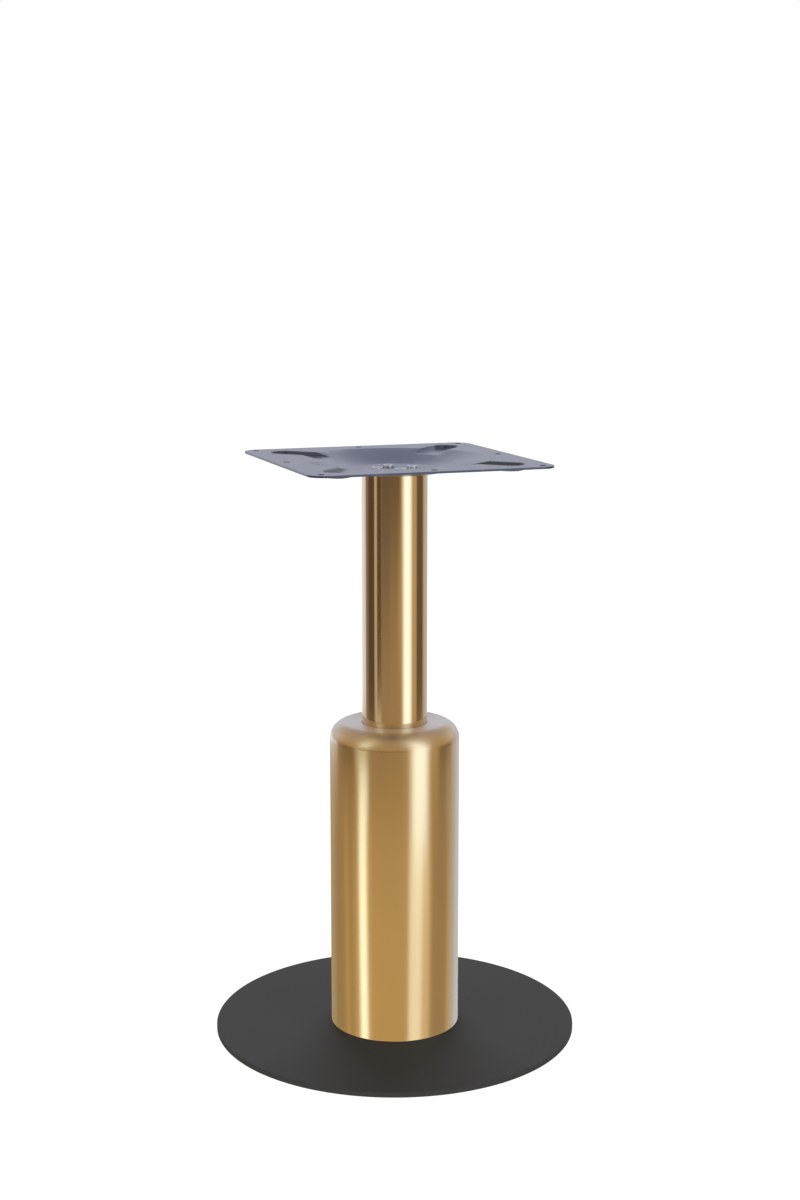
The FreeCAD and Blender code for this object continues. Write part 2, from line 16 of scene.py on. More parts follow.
import bmesh
import bpy
from mathutils import Euler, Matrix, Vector


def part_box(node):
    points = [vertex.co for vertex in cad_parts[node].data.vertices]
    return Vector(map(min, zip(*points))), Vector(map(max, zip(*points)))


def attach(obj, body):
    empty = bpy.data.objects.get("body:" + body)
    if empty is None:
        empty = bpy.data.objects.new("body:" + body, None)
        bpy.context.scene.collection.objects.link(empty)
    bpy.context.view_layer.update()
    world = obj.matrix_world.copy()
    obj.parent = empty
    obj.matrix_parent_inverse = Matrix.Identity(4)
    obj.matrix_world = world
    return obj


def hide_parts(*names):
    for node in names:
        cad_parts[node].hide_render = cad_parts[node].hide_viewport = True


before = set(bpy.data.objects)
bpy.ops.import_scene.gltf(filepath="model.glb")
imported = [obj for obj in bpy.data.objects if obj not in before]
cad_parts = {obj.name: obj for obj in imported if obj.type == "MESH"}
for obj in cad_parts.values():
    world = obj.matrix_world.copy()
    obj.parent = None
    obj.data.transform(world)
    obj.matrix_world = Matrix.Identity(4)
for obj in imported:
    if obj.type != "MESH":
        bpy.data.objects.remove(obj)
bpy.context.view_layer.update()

LOG = logging.getLogger("table_base")
ROOT = "root"
MM = 0.001

Profile = list[tuple[float, float]]
Colour = tuple[float, float, float]
Value = Union[float, Colour, bpy.types.NodeSocket]

# Screen colours: straight up to the knee of the curve, and a power above it
SCREEN_WHITE = 255
CURVE_KNEE = 0.04045
CURVE_SLOPE = 12.92
CURVE_OFFSET = 0.055
CURVE_POWER = 2.4

# Smallest radius of a turned section, which keeps its faces off the axis
AXIS_GAP = 0.2 * MM

# Distance of the plate's fixing holes from its middle lines
HOLE_OFFSET = 135 * MM

# Angle that one flat of a hexagon socket takes up
FLAT_ANGLE = math.pi / 3

# A flat head's rounded edge, in bevels inwards from its side and down from its top
ROUNDED_EDGE = ((1.4, 0.0), (1.0, 0.1), (0.15, 0.9), (0.0, 1.4))

# Limits past which no bearing and no rise lies, whatever a panel's soft edge
ALL_ROUND = 400.0
ALL_UP = 200.0

# Rises that the column's front mirrors; the sleeve's wall mirrors lower ones
COLUMN_RISES = {"low": -14.5, "high": -4.0}


class Slot(Enum):
    """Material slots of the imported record."""

    POWDER_COAT = "black_powder_coat"
    PLATE_PAINT = "grey_plate_paint"
    COLUMN_BRASS = "polished_brass_column"
    SLEEVE_BRASS = "satin_brass_sleeve"
    TURNED_STEEL = "turned_steel"
    ZINC = "zinc_fasteners"
    NYLON = "black_nylon"
    RUBBER = "pad_rubber"


class HeadKind(Enum):
    """Shapes of a screw's head."""

    FLAT = "flat"
    COUNTERSUNK = "countersunk"


def linear(red: int, green: int, blue: int) -> Colour:
    """Linear colour of three screen values.

    Args:
        red: red, 0 to 255.
        green: green, 0 to 255.
        blue: blue, 0 to 255.

    Returns:
        The three linear parts, 0 to 1.
    """
    parts = []
    for value in (red, green, blue):
        part = value / SCREEN_WHITE
        curved = ((part + CURVE_OFFSET) / (1 + CURVE_OFFSET)) ** CURVE_POWER
        parts.append(part / CURVE_SLOPE if part <= CURVE_KNEE else curved)
    return tuple(parts)


def arc(middle: tuple[float, float], radius: float, start: float, end: float, steps: int) -> Profile:
    """Points along an arc of a half section.

    Args:
        middle: distance from the axis and height of the arc's middle.
        radius: the arc's radius.
        start: angle of the first point in degrees, 0 being outwards.
        end: angle of the last point in degrees.
        steps: number of straight steps along it.

    Returns:
        The points, both ends included.
    """
    across, up = middle
    angles = [math.radians(start + (end - start) * step / steps) for step in range(steps + 1)]
    return [(across + radius * math.cos(angle), up + radius * math.sin(angle)) for angle in angles]


def turns(count: int) -> list[float]:
    """Angles of one full turn in equal steps."""
    return [math.tau * step / count for step in range(count)]


def about_axis(radius: float, angle: float, height: float) -> Vector:
    """Point at a distance from the upright axis, an angle and a height."""
    return Vector((radius * math.cos(angle), radius * math.sin(angle), height))


def new_object(name: str, mesh: bpy.types.Mesh) -> bpy.types.Object:
    """Put a mesh in the scene at the origin.

    Args:
        name: the piece's name.
        mesh: its mesh.

    Returns:
        The new object.
    """
    piece = bpy.data.objects.new(name, mesh)
    bpy.context.scene.collection.objects.link(piece)
    return piece


def shade_smooth(mesh: bpy.types.Mesh, sharp_degrees: float) -> None:
    """Shade a mesh smooth, and keep the edges crisp that turn more than an angle."""
    mesh.polygons.foreach_set("use_smooth", [True] * len(mesh.polygons))
    mesh.set_sharp_from_angle(angle=math.radians(sharp_degrees))


def mesh_from_rings(
    name: str, rings: Sequence[Sequence[Vector]], sharp_degrees: float, loop: bool = True
) -> bpy.types.Mesh:
    """Mesh made of rings of points, each joined to the next.

    Args:
        name: name of the mesh.
        rings: the rings, all with as many points.
        sharp_degrees: edges that turn more than this stay crisp.
        loop: join the last ring to the first; otherwise both end rings are closed.

    Returns:
        A closed mesh with its faces outwards.
    """
    body = bmesh.new()
    rows = [[body.verts.new(point) for point in ring] for ring in rings]
    following = rows[1:] + rows[:1] if loop else rows[1:]
    count = len(rows[0])
    for row, after in zip(rows, following):
        for index in range(count):
            beside = (index + 1) % count
            body.faces.new((row[index], row[beside], after[beside], after[index]))
    if not loop:
        body.faces.new(list(reversed(rows[0])))
        body.faces.new(rows[-1])
    bmesh.ops.recalc_face_normals(body, faces=body.faces)
    mesh = bpy.data.meshes.new(name)
    body.to_mesh(mesh)
    body.free()
    shade_smooth(mesh, sharp_degrees)
    return mesh


def lathe(name: str, profile: Profile, segments: int, sharp_degrees: float = 35) -> bpy.types.Mesh:
    """Turn a closed half section about the upright axis.

    Args:
        name: name of the mesh.
        profile: points of the section, distance from the axis and height.
        segments: number of segments around.
        sharp_degrees: edges that turn more than this stay crisp.

    Returns:
        The turned mesh.
    """
    rings = [[about_axis(radius, angle, height) for angle in turns(segments)] for radius, height in profile]
    return mesh_from_rings(name, rings, sharp_degrees)


def settle(piece: bpy.types.Object, replaced: Sequence[str]) -> None:
    """Fix a finished piece to the body and hide the nodes it stands for.

    Args:
        piece: the finished piece.
        replaced: names of the nodes that it replaces.
    """
    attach(piece, ROOT)
    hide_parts(*replaced)
    LOG.info("%s: %d faces", piece.name, len(piece.data.polygons))


def dress_node(name: str, material: bpy.types.Material) -> None:
    """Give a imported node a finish.

    Args:
        name: the node's name.
        material: its finish.
    """
    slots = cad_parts[name].data.materials
    slots.clear()
    slots.append(material)
    LOG.info("%s: dressed", name)


def by_identifier(sockets: Iterable[bpy.types.NodeSocket], identifier: str) -> bpy.types.NodeSocket:
    """Socket with an identifier, on a node that gives several sockets the same name."""
    return next(socket for socket in sockets if socket.identifier == identifier)


class ShaderTree:
    """A few short ways to build a node tree."""

    def __init__(self, tree: bpy.types.NodeTree) -> None:
        """Keep the tree that is built."""
        self.tree = tree

    def add(self, kind: str, **inputs: Value) -> bpy.types.Node:
        """Add a node and set or link its inputs.

        Args:
            kind: the node's type.
            inputs: values, or sockets to link, by input name with underscores for spaces.

        Returns:
            The new node.
        """
        node = self.tree.nodes.new(kind)
        for name, given in inputs.items():
            self.feed(node.inputs[name.replace("_", " ")], given)
        return node

    def feed(self, socket: bpy.types.NodeSocket, given: Value) -> None:
        """Link a socket to an input, or set its value.

        Args:
            socket: the socket that is fed.
            given: a value, or the socket to link.
        """
        if isinstance(given, bpy.types.NodeSocket):
            self.tree.links.new(given, socket)
        elif socket.type == "RGBA":
            socket.default_value = (*given, 1.0)
        else:
            socket.default_value = given

    def coordinates(self) -> bpy.types.NodeSocket:
        """The object's own coordinates."""
        return self.add("ShaderNodeTexCoord").outputs["Object"]

    def place(self) -> dict[str, bpy.types.NodeSocket]:
        """The three parts of the object's own coordinates, by axis."""
        parts = self.add("ShaderNodeSeparateXYZ", Vector=self.coordinates())
        return {axis: parts.outputs[axis] for axis in "XYZ"}

    def math(self, operation: str, first: Value, second: Value = 0.0) -> bpy.types.NodeSocket:
        """Result of a math node.

        Args:
            operation: the node's operation.
            first: its first input.
            second: its second input, where the operation has one.

        Returns:
            The result.
        """
        node = self.tree.nodes.new("ShaderNodeMath")
        node.operation = operation
        self.feed(node.inputs[0], first)
        self.feed(node.inputs[1], second)
        return node.outputs["Value"]

    def average(self, first: Value, second: Value) -> bpy.types.NodeSocket:
        """Average of two values."""
        return self.math("MULTIPLY", self.math("ADD", first, second), 0.5)

    def vector_math(self, operation: str, first: Value, second: Value) -> bpy.types.Node:
        """Add a vector math node.

        Args:
            operation: the node's operation.
            first: its first vector.
            second: its second vector.

        Returns:
            The node, which gives a vector or a value.
        """
        node = self.tree.nodes.new("ShaderNodeVectorMath")
        node.operation = operation
        self.feed(node.inputs[0], first)
        self.feed(node.inputs[1], second)
        return node

    def ramp(self, factor: Value, low: float, high: float) -> bpy.types.NodeSocket:
        """A factor that is 0 up to low, 1 from high on and smooth between.

        Args:
            factor: the value that is read.
            low: the value that gives 0.
            high: the value that gives 1.

        Returns:
            The factor.
        """
        node = self.add("ShaderNodeMapRange", Value=factor, From_Min=low, From_Max=high)
        node.interpolation_type = "SMOOTHSTEP"
        return node.outputs["Result"]

    def scale(self, factor: Value, low: float, high: float) -> bpy.types.NodeSocket:
        """A factor of 0 to 1 spread from low to high."""
        return self.add("ShaderNodeMapRange", Value=factor, To_Min=low, To_Max=high).outputs["Result"]

    def mix(self, factor: Value, first: Value, second: Value) -> bpy.types.NodeSocket:
        """Mixed colour of two colours.

        Args:
            factor: share of the second colour.
            first: the first colour.
            second: the second colour.

        Returns:
            The mixed colour.
        """
        node = self.tree.nodes.new("ShaderNodeMix")
        node.data_type = "RGBA"
        given = {"Factor_Float": factor, "A_Color": first, "B_Color": second}
        for identifier, value in given.items():
            self.feed(by_identifier(node.inputs, identifier), value)
        return by_identifier(node.outputs, "Result_Color")

    def blend(
        self, share: Value, first: bpy.types.NodeSocket, second: bpy.types.NodeSocket
    ) -> bpy.types.NodeSocket:
        """Blend of two shaders.

        Args:
            share: share of the second shader.
            first: the first shader.
            second: the second shader.

        Returns:
            The blended shader.
        """
        node = self.add("ShaderNodeMixShader", Fac=share)
        self.feed(node.inputs[1], first)
        self.feed(node.inputs[2], second)
        return node.outputs["Shader"]


class SurfaceGroups:
    """Shader node groups that several finishes share."""

    grain_range: tuple[float, float] = (0.3, 0.7)
    line_range: tuple[float, float] = (0.35, 0.65)
    haze_middle: float = 0.5
    haze_gain: float = 5.0

    def __init__(self) -> None:
        """Build each group once."""
        self.grain = self._grain()
        self.lines = self._lines()
        self.haze = self._haze()

    @staticmethod
    def _start(
        name: str, inputs: dict[str, float]
    ) -> tuple[ShaderTree, dict[str, bpy.types.NodeSocket], bpy.types.NodeSocket]:
        """Make a group with float inputs, a Mask output and object coordinates.

        Args:
            name: the group's name.
            inputs: name and default of each input.

        Returns:
            The group's builder, its input sockets and the coordinates.
        """
        group = bpy.data.node_groups.new(name, "ShaderNodeTree")
        for label, default in inputs.items():
            socket = group.interface.new_socket(label, in_out="INPUT", socket_type="NodeSocketFloat")
            socket.default_value = default
        group.interface.new_socket("Mask", in_out="OUTPUT", socket_type="NodeSocketFloat")
        tree = ShaderTree(group)
        entry = tree.add("NodeGroupInput")
        sockets = {label: entry.outputs[label] for label in inputs}
        return tree, sockets, tree.coordinates()

    @staticmethod
    def _end(tree: ShaderTree, mask: bpy.types.NodeSocket) -> bpy.types.NodeTree:
        """Link the mask to the group's output and return the group."""
        tree.add("NodeGroupOutput", Mask=mask)
        return tree.tree

    def _grain(self) -> bpy.types.NodeTree:
        """Build the fine even grain of powder coat, paint, moulded plastic and rubber.

        Returns:
            The group.
        """
        tree, sockets, coordinates = self._start("surface_grain", {"Scale": 900.0, "Detail": 2.0})
        noise = tree.add("ShaderNodeTexNoise", Vector=coordinates, **sockets)
        return self._end(tree, tree.ramp(noise.outputs["Fac"], *self.grain_range))

    def _lines(self) -> bpy.types.NodeTree:
        """Build the polishing lines, drawn out along or around a piece by two scales.

        Returns:
            The group.
        """
        tree, sockets, coordinates = self._start("polishing_lines", {"Across": 60.0, "Along": 3000.0})
        across, along = sockets["Across"], sockets["Along"]
        stretch = tree.add("ShaderNodeCombineXYZ", X=across, Y=across, Z=along).outputs["Vector"]
        stretched = tree.vector_math("MULTIPLY", coordinates, stretch).outputs["Vector"]
        noise = tree.add("ShaderNodeTexNoise", Vector=stretched, Scale=1.0, Detail=3.0)
        return self._end(tree, tree.ramp(noise.outputs["Fac"], *self.line_range))

    def _haze(self) -> bpy.types.NodeTree:
        """Build the large soft patches that handling and polishing leave.

        Returns:
            The group.
        """
        tree, sockets, coordinates = self._start("handling_haze", {"Scale": 14.0, "Contrast": 0.2})
        noise = tree.add(
            "ShaderNodeTexNoise",
            Vector=coordinates,
            Scale=sockets["Scale"],
            Detail=4.0,
            Roughness=0.55,
            Distortion=0.4,
        )
        centred = tree.math("SUBTRACT", noise.outputs["Fac"], self.haze_middle)
        spread = tree.math("MULTIPLY", centred, sockets["Contrast"])
        scaled = tree.math("MULTIPLY", spread, self.haze_gain)
        return self._end(tree, tree.math("ADD", scaled, self.haze_middle))


def place_group(tree: ShaderTree, group: bpy.types.NodeTree, **values: float) -> bpy.types.NodeSocket:
    """Put a shared group in a material.

    Args:
        tree: the material's builder.
        group: the shared group.
        values: the group's inputs.

    Returns:
        The group's mask.
    """
    node = tree.tree.nodes.new("ShaderNodeGroup")
    node.node_tree = group
    for name, given in values.items():
        node.inputs[name].default_value = given
    return node.outputs["Mask"]


def empty_material(name: str) -> tuple[bpy.types.Material, ShaderTree]:
    """Make a material without nodes.

    Args:
        name: the material's name.

    Returns:
        The material and its builder.
    """
    material = bpy.data.materials.new(name)
    material.use_nodes = True
    material.node_tree.nodes.clear()
    return material, ShaderTree(material.node_tree)


def start_material(name: str) -> tuple[bpy.types.Material, ShaderTree, bpy.types.Node]:
    """Make a material with a Principled shader.

    Args:
        name: the material's name.

    Returns:
        The material, its builder and its shader node.
    """
    material, tree = empty_material(name)
    shader = tree.add("ShaderNodeBsdfPrincipled")
    tree.add("ShaderNodeOutputMaterial", Surface=shader.outputs["BSDF"])
    return material, tree, shader


def add_bump(
    tree: ShaderTree, shader: bpy.types.Node, height: bpy.types.NodeSocket, depth_mm: float, strength: float
) -> None:
    """Raise a surface by a mask.

    Args:
        tree: the material's builder.
        shader: the shader whose normal is bent.
        height: the mask.
        depth_mm: depth between mask 0 and 1, in millimetres.
        strength: strength of the bump node.
    """
    bump = tree.add("ShaderNodeBump", Height=height, Strength=strength, Distance=depth_mm * MM)
    tree.feed(shader.inputs["Normal"], bump.outputs["Normal"])


@dataclass(frozen=True)
class SatinTopAndPaintedSheen:
    """Duller upper end of a plated piece, and a painted sheen: the plating's colour is painted paler where
    it is seen at a slant.
    """

    dull_from: float
    dull_to: float
    dullness: float
    painted_sheen_colour: Colour
    painted_sheen_share: float
    painted_sheen_from: float = 0.62
    painted_sheen_to: float = 0.76

    def dull(self, tree: ShaderTree) -> bpy.types.NodeSocket:
        """Roughness that is added towards the piece's top."""
        share = tree.ramp(tree.place()["Z"], self.dull_from, self.dull_to)
        return tree.math("MULTIPLY", share, self.dullness)

    def pale(self, tree: ShaderTree, colour: bpy.types.NodeSocket) -> bpy.types.NodeSocket:
        """Paint a sheen by paling a colour where the surface is seen at a slant.

        Args:
            tree: the material's builder.
            colour: the plating's own colour.

        Returns:
            The colour with the painted sheen.
        """
        slant = tree.add("ShaderNodeLayerWeight").outputs["Facing"]
        share = tree.math("MULTIPLY", tree.ramp(slant, self.painted_sheen_from, self.painted_sheen_to), self.painted_sheen_share)
        return tree.mix(share, colour, self.painted_sheen_colour)


@dataclass(frozen=True)
class PlatedBrass:
    """Brass-coloured plating, rubbed around the piece and lacquered.

    Drag is how far the rubbing draws mirror images out, and across and along are the
    scales of its lines. The deep colour shows in patches.
    """

    colour: Colour
    deep_colour: Colour
    roughness: float
    spread: float
    drag: float
    across: float
    along: float
    line_depth_mm: float
    lacquer_roughness: float
    # A duller top, with a painted sheen where the plating is seen at a slant
    top: Optional[SatinTopAndPaintedSheen] = None
    lacquer: float = 1.0
    lacquer_ior: float = 2.0
    patch_scale: float = 9.0
    patch_contrast: float = 0.35
    deep_share: float = 0.5
    quarter_turn: float = 0.25
    line_strength: float = 0.3

    def material(self, name: str, groups: SurfaceGroups) -> bpy.types.Material:
        """Build the finish.

        Args:
            name: the material's name.
            groups: the shared node groups.

        Returns:
            The material.
        """
        material, tree, shader = start_material(name)
        lines = place_group(tree, groups.lines, Across=self.across, Along=self.along)
        patches = place_group(tree, groups.haze, Scale=self.patch_scale, Contrast=self.patch_contrast)
        colour = tree.mix(tree.scale(patches, 0.0, self.deep_share), self.colour, self.deep_colour)
        hazy = tree.average(lines, patches)
        roughness = tree.scale(hazy, self.roughness - self.spread, self.roughness + self.spread)
        lacquer_roughness: Value = self.lacquer_roughness
        if self.top:
            # Painted sheen: the brass colour is paled where the plating is seen at a slant
            colour = self.top.pale(tree, colour)
            dull = self.top.dull(tree)
            roughness = tree.math("ADD", roughness, dull)
            lacquer_roughness = tree.math("ADD", lacquer_roughness, dull)
        tangent = tree.add("ShaderNodeTangent")
        tangent.direction_type = "RADIAL"
        tangent.axis = "Z"
        given = {
            "Base Color": colour,
            "Metallic": 1.0,
            "Roughness": roughness,
            "Tangent": tangent.outputs["Tangent"],
            "Anisotropic": self.drag,
            "Anisotropic Rotation": self.quarter_turn,
            "Coat Weight": self.lacquer,
            "Coat Roughness": lacquer_roughness,
            "Coat IOR": self.lacquer_ior,
        }
        for label, value in given.items():
            tree.feed(shader.inputs[label], value)
        add_bump(tree, shader, lines, self.line_depth_mm, self.line_strength)
        return material


@dataclass(frozen=True)
class GrainedCoat:
    """Paint, powder coat, plastic or rubber with a fine grain.

    The walls of any holes named, which stand alike in every quarter of the piece, are
    dark and matt: painted shade in the holes, near black and without gloss.
    """

    colour: Colour
    fleck: Colour
    roughness: float
    spread: float
    grain_scale: float
    grain_depth_mm: float
    specular: float = 0.5
    gloss: float = 0.0
    gloss_roughness: float = 0.25
    holes: tuple[tuple[float, float], ...] = ()
    hole_reach: float = 4.1 * MM
    # Near-black colour of the painted shade on the holes' walls
    hole_shade_colour: Colour = linear(14, 14, 18)
    grain_detail: float = 3.0
    grain_strength: float = 0.5
    patch_scale: float = 6.0
    patch_contrast: float = 0.25

    def hole_shade_mask(self, tree: ShaderTree) -> bpy.types.NodeSocket:
        """Find the walls of the holes, where the shade is painted.

        Args:
            tree: the material's builder.

        Returns:
            A factor that is 1 on those walls and 0 elsewhere.
        """
        place = tree.place()
        across, along = (tree.math("ABSOLUTE", place[axis]) for axis in "XY")
        inside: Value = 0.0
        for hole_x, hole_y in self.holes:
            square_x = tree.math("POWER", tree.math("SUBTRACT", across, hole_x), 2.0)
            square_y = tree.math("POWER", tree.math("SUBTRACT", along, hole_y), 2.0)
            away = tree.math("SQRT", tree.math("ADD", square_x, square_y))
            inside = tree.math("MAXIMUM", inside, tree.math("LESS_THAN", away, self.hole_reach))
        return inside

    def material(self, name: str, groups: SurfaceGroups) -> bpy.types.Material:
        """Build the finish.

        Args:
            name: the material's name.
            groups: the shared node groups.

        Returns:
            The material.
        """
        material, tree, shader = start_material(name)
        grain = place_group(tree, groups.grain, Scale=self.grain_scale, Detail=self.grain_detail)
        patches = place_group(tree, groups.haze, Scale=self.patch_scale, Contrast=self.patch_contrast)
        speckle = tree.average(grain, patches)
        colour = tree.mix(speckle, self.colour, self.fleck)
        roughness = tree.scale(speckle, self.roughness - self.spread, self.roughness + self.spread)
        gloss: Value = self.gloss
        # Painted shade in the holes: a near-black colour, full roughness and no gloss on their walls
        if self.holes:
            inside = self.hole_shade_mask(tree)
            colour = tree.mix(inside, colour, self.hole_shade_colour)
            roughness = tree.math("MAXIMUM", roughness, inside)
            gloss = tree.math("MULTIPLY", tree.math("SUBTRACT", 1.0, inside), self.gloss)
        given = {
            "Base Color": colour,
            "Roughness": roughness,
            "Specular IOR Level": self.specular,
            "Coat Weight": gloss,
            "Coat Roughness": self.gloss_roughness,
        }
        for label, value in given.items():
            tree.feed(shader.inputs[label], value)
        add_bump(tree, shader, grain, self.grain_depth_mm, self.grain_strength)
        return material


@dataclass(frozen=True)
class BareSteel:
    """Turned or zinc-plated steel."""

    colour: Colour
    roughness: float
    spread: float
    line_scale: float
    dull_share: float = 0.82
    patch_scale: float = 60.0
    patch_contrast: float = 0.3
    line_depth_mm: float = 0.01
    line_strength: float = 0.3

    def material(self, name: str, groups: SurfaceGroups) -> bpy.types.Material:
        """Build the finish.

        Args:
            name: the material's name.
            groups: the shared node groups.

        Returns:
            The material.
        """
        material, tree, shader = start_material(name)
        lines = place_group(tree, groups.lines, Across=self.line_scale, Along=self.line_scale)
        patches = place_group(tree, groups.haze, Scale=self.patch_scale, Contrast=self.patch_contrast)
        dull = tuple(part * self.dull_share for part in self.colour)
        tree.feed(shader.inputs["Base Color"], tree.mix(patches, self.colour, dull))
        tree.feed(shader.inputs["Metallic"], 1.0)
        roughness = tree.scale(lines, self.roughness - self.spread, self.roughness + self.spread)
        tree.feed(shader.inputs["Roughness"], roughness)
        add_bump(tree, shader, lines, self.line_depth_mm, self.line_strength)
        return material


FINISHES: dict[Slot, Union[PlatedBrass, GrainedCoat, BareSteel]] = {
    Slot.COLUMN_BRASS: PlatedBrass(
        colour=(0.72, 0.5, 0.27),
        deep_colour=(0.69, 0.475, 0.25),
        roughness=0.1,
        spread=0.01,
        drag=0.3,
        across=40.0,
        along=2200.0,
        line_depth_mm=0.0008,
        lacquer_roughness=0.06,
    ),
    Slot.SLEEVE_BRASS: PlatedBrass(
        colour=(0.72, 0.5, 0.26),
        deep_colour=(0.7, 0.48, 0.245),
        roughness=0.21,
        spread=0.012,
        drag=0.7,
        across=40.0,
        along=2600.0,
        line_depth_mm=0.0012,
        lacquer_roughness=0.12,
        # The sleeve's top is duller, and its colour is paled at a slant as a painted sheen
        top=SatinTopAndPaintedSheen(
            dull_from=370 * MM,
            dull_to=392 * MM,
            dullness=0.3,
            painted_sheen_colour=(0.79, 0.73, 0.66),
            painted_sheen_share=0.85,
        ),
    ),
    Slot.POWDER_COAT: GrainedCoat(
        colour=linear(50, 50, 50),
        fleck=linear(58, 58, 58),
        roughness=0.62,
        spread=0.06,
        grain_scale=1400.0,
        grain_depth_mm=0.05,
        specular=0.22,
    ),
    Slot.PLATE_PAINT: GrainedCoat(
        colour=linear(42, 47, 73),
        fleck=linear(48, 53, 79),
        roughness=0.4,
        spread=0.04,
        grain_scale=1100.0,
        grain_depth_mm=0.01,
        specular=0.3,
        gloss=0.7,
        gloss_roughness=0.2,
        # Painted shade on the walls of the plate's eight fixing holes
        holes=((HOLE_OFFSET, HOLE_OFFSET), (HOLE_OFFSET, 0), (0, HOLE_OFFSET)),
    ),
    Slot.NYLON: GrainedCoat(
        colour=linear(48, 48, 48),
        fleck=linear(56, 56, 56),
        roughness=0.5,
        spread=0.05,
        grain_scale=1600.0,
        grain_depth_mm=0.02,
    ),
    Slot.RUBBER: GrainedCoat(
        colour=linear(38, 38, 38),
        fleck=linear(46, 46, 46),
        roughness=0.8,
        spread=0.05,
        grain_scale=1800.0,
        grain_depth_mm=0.04,
        specular=0.3,
    ),
    Slot.TURNED_STEEL: BareSteel(colour=(0.5, 0.5, 0.5), roughness=0.34, spread=0.06, line_scale=700.0),
    Slot.ZINC: BareSteel(colour=(0.7, 0.72, 0.84), roughness=0.34, spread=0.05, line_scale=1500.0),
}


class Finishes:
    """One material for each slot of the record."""

    def __init__(self) -> None:
        """Build all the finishes."""
        groups = SurfaceGroups()
        self.materials = {slot: finish.material(slot.value, groups) for slot, finish in FINISHES.items()}

    def __getitem__(self, slot: Slot) -> bpy.types.Material:
        """The material of a slot."""
        return self.materials[slot]


class CircleOfCopies:
    """Geometry Nodes tree that repeats a piece evenly on a circle."""

    input_kinds: dict[str, str] = {
        "Radius": "Float",
        "Count": "Int",
        "Spin": "Float",
        "Seed": "Int",
        "Finish": "Material",
    }

    def __init__(self) -> None:
        """Build the tree once."""
        self.tree = bpy.data.node_groups.new("circle_of_copies", "GeometryNodeTree")
        self.tree.interface.new_socket("Geometry", in_out="INPUT", socket_type="NodeSocketGeometry")
        self.identifiers = {name: self._input(name, kind) for name, kind in self.input_kinds.items()}
        self.tree.interface.new_socket("Geometry", in_out="OUTPUT", socket_type="NodeSocketGeometry")
        nodes, links = self.tree.nodes, self.tree.links
        entry = nodes.new("NodeGroupInput")
        circle = nodes.new("GeometryNodeMeshCircle")
        links.new(entry.outputs["Count"], circle.inputs["Vertices"])
        links.new(entry.outputs["Radius"], circle.inputs["Radius"])
        chance = nodes.new("FunctionNodeRandomValue")
        chance.data_type = "FLOAT"
        links.new(entry.outputs["Spin"], by_identifier(chance.inputs, "Max_001"))
        links.new(entry.outputs["Seed"], chance.inputs["Seed"])
        angle = nodes.new("ShaderNodeCombineXYZ")
        links.new(by_identifier(chance.outputs, "Value_001"), angle.inputs["Z"])
        copies = nodes.new("GeometryNodeInstanceOnPoints")
        links.new(circle.outputs["Mesh"], copies.inputs["Points"])
        links.new(entry.outputs["Geometry"], copies.inputs["Instance"])
        links.new(angle.outputs["Vector"], copies.inputs["Rotation"])
        real = nodes.new("GeometryNodeRealizeInstances")
        links.new(copies.outputs["Instances"], real.inputs["Geometry"])
        dressed = nodes.new("GeometryNodeSetMaterial")
        links.new(real.outputs["Geometry"], dressed.inputs["Geometry"])
        links.new(entry.outputs["Finish"], dressed.inputs["Material"])
        leaving = nodes.new("NodeGroupOutput")
        links.new(dressed.outputs["Geometry"], leaving.inputs["Geometry"])

    def _input(self, name: str, kind: str) -> str:
        """Add a named input to the tree and return its identifier."""
        socket = self.tree.interface.new_socket(name, in_out="INPUT", socket_type="NodeSocket" + kind)
        return socket.identifier

    def repeat(
        self,
        name: str,
        mesh: bpy.types.Mesh,
        radius: float,
        count: int,
        finish: bpy.types.Material,
        spin: float = 0.0,
        seed: int = 0,
    ) -> bpy.types.Object:
        """Repeat a mesh on a circle.

        Args:
            name: name of the new piece.
            mesh: the mesh, standing on the upright axis at its own height.
            radius: radius of the circle.
            count: number of copies, the first on the X axis.
            finish: material of the copies.
            spin: largest random turn of a copy about its own axis, in radians.
            seed: seed of those turns.

        Returns:
            One plain mesh object that holds all the copies.
        """
        carrier = new_object(name + "_carrier", mesh)
        modifier = carrier.modifiers.new("copies", "NODES")
        modifier.node_group = self.tree
        given = {"Radius": radius, "Count": count, "Spin": spin, "Seed": seed, "Finish": finish}
        for label, value in given.items():
            modifier[self.identifiers[label]] = value
        bpy.context.view_layer.update()
        graph = bpy.context.evaluated_depsgraph_get()
        result = bpy.data.meshes.new_from_object(carrier.evaluated_get(graph))
        bpy.data.objects.remove(carrier)
        result.name = name
        return new_object(name, result)


